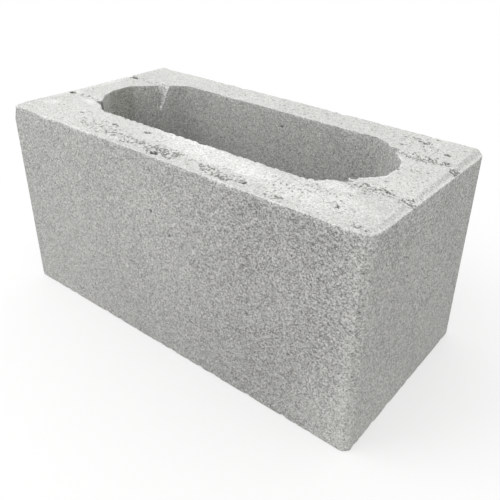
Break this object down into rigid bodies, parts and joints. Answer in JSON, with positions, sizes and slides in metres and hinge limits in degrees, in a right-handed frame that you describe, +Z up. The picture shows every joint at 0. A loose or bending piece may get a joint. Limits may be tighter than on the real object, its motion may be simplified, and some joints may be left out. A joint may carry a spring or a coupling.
{
  "type": "concrete block",
  "caption": "Rectangular hollow concrete building block with one long octagonal cavity right through it and shallow tracks across its top ends.",
  "frame": {"origin": "middle of the bed face, on the level of the floor that the block stands on", "axes": "+X along the length, +Y across the width from the thick shell towards the thin shell, +Z up, out of the struck top face"},
  "size_m": [0.39, 0.19, 0.19],
  "materials": {
    "concrete": "rough cast"
  },
  "bodies": {
    "root": {"block": "concrete"}
  },
  "joints": []
}
